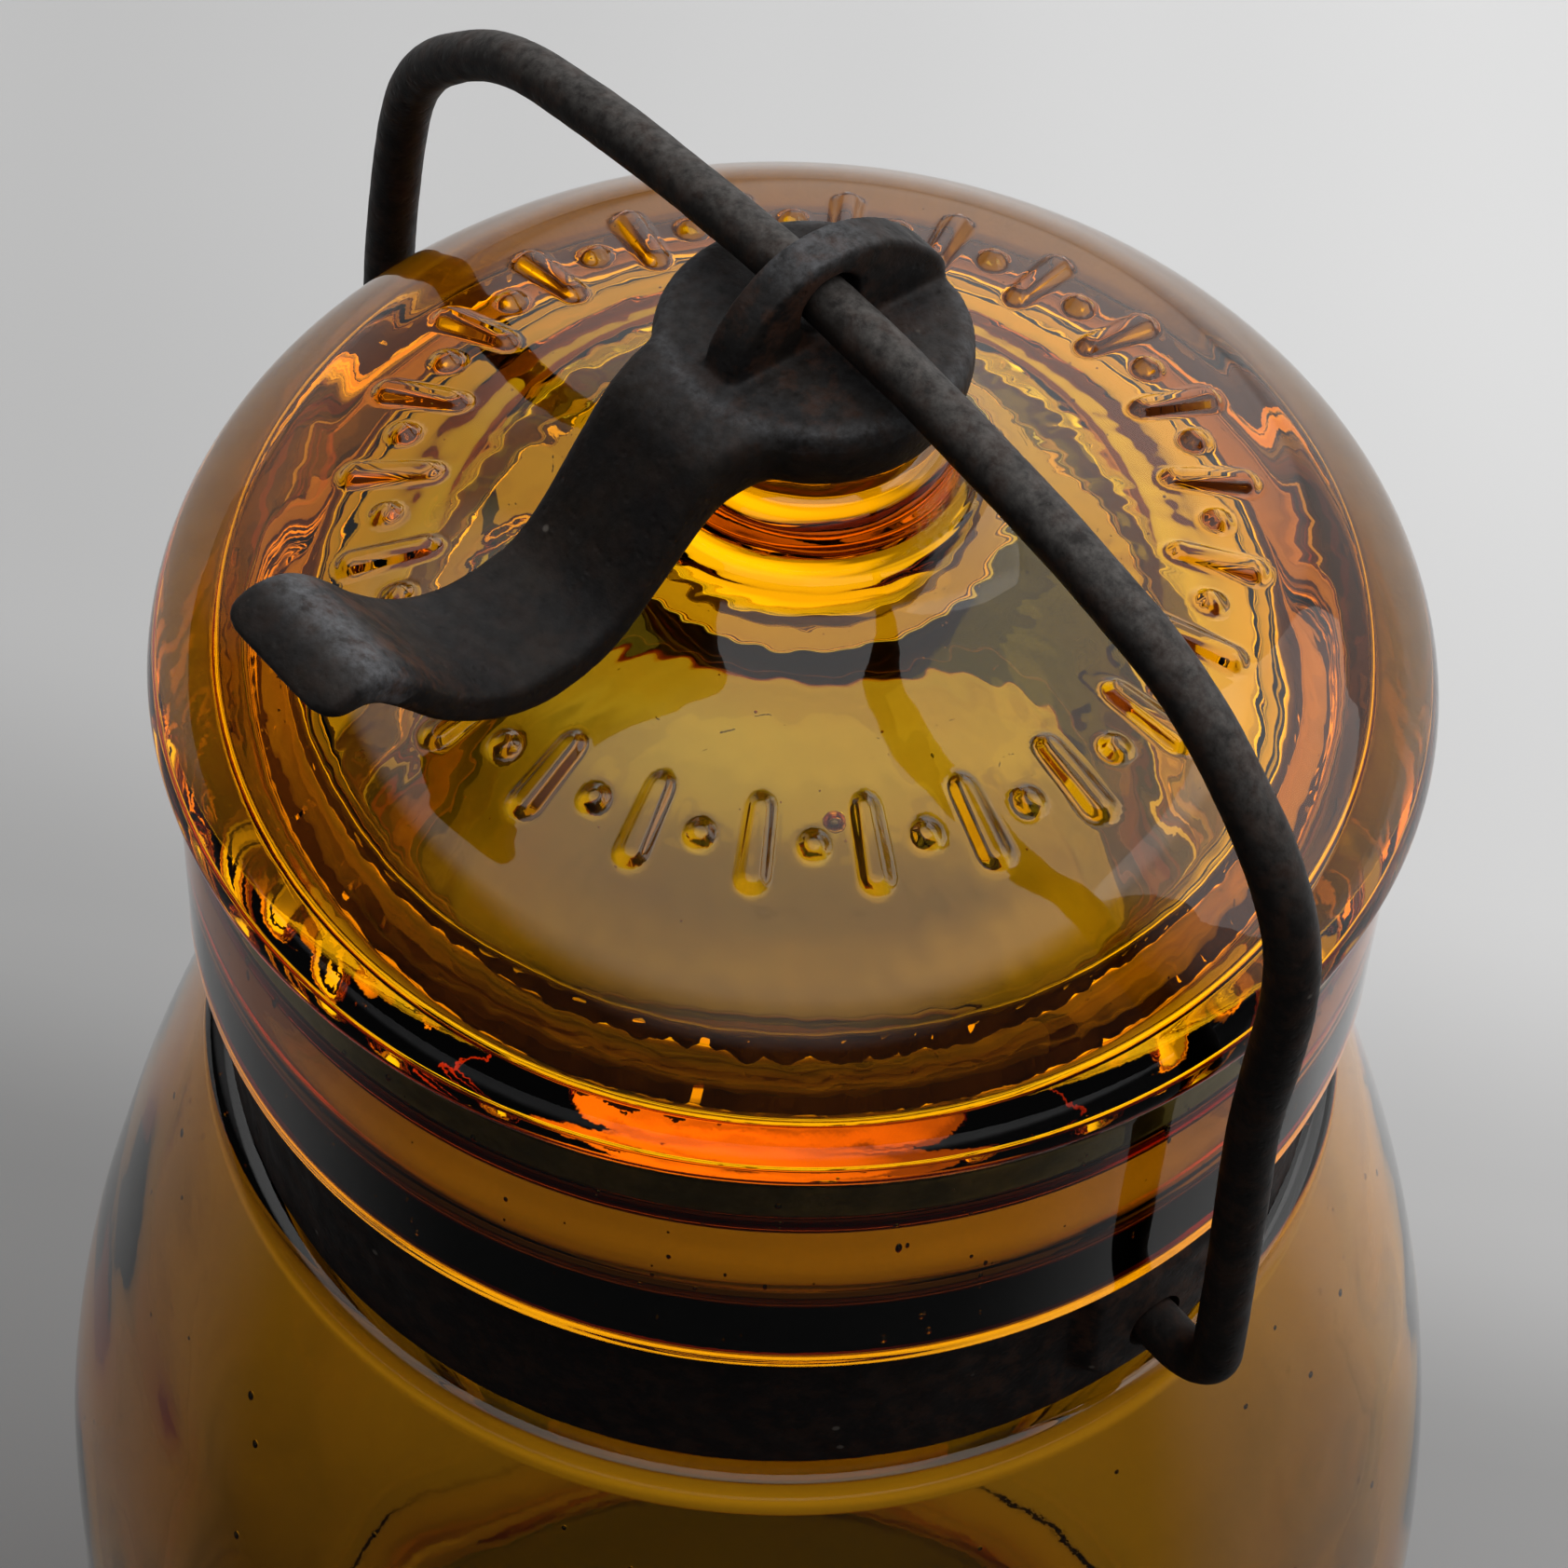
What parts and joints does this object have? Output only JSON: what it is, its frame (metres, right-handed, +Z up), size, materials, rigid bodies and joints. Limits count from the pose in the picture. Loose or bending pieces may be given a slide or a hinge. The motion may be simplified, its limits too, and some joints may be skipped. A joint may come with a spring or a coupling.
{
  "type": "fruit jar",
  "caption": "Wide-mouth amber glass fruit jar with a domed glass lid, rubber ring, iron neck band, wire bail and a cast cam lever that clamps the lid.",
  "frame": {"origin": "centre of the jar's base, on the surface it stands on", "axes": "+Z up along the jar's own axis; X along the ear axis that the bail turns about; -Y towards the tip of the lever's handle"},
  "size_m": [0.1004, 0.1004, 0.2077],
  "materials": {
    "amber_glass": "clear old amber glass with seeds and a slight ripple",
    "amber_lid_glass": "clear old amber glass, pressed, with a ring of raised bars and beads",
    "tan_rubber": "aged tan rubber, matt, grimy",
    "band_iron": "rolled iron strap, dark and rusted",
    "rivet_iron": "hammered, dark",
    "wire_iron": "drawn iron wire, dark with light wear",
    "cast_iron": "rough casting, pitted, worn at the thumb tip"
  },
  "bodies": {
    "jar": {"jar_body": "amber_glass", "sealing_ring": "tan_rubber", "neck_band": "band_iron", "band_rivet": "rivet_iron"},
    "bail": {"wire_bail": "wire_iron"},
    "lever": {"cam_lever": "cast_iron"},
    "lid": {"glass_lid": "amber_lid_glass"}
  },
  "joints": [
    {"name": "bail_swing", "type": "hinge", "parent": "jar", "child": "bail", "pos_m": [0, 0, 0.1432], "axis": [-1, 0, 0], "range_deg": [0, 100]},
    {"name": "lever_lift", "type": "hinge", "parent": "bail", "child": "lever", "pos_m": [0, 0, 0.204], "axis": [-1, 0, 0], "range_deg": [0, 100]},
    {"name": "lid_lift", "type": "slide", "parent": "jar", "child": "lid", "axis": [0, 0, 1], "range_m": [0, 0.0028]}
  ],
  "couplings": [
    {"joint": "lever_lift", "follows": "bail_swing", "ratio": 1},
    {"joint": "lid_lift", "follows": "bail_swing", "m_per_rad": 0.0016}
  ]
}
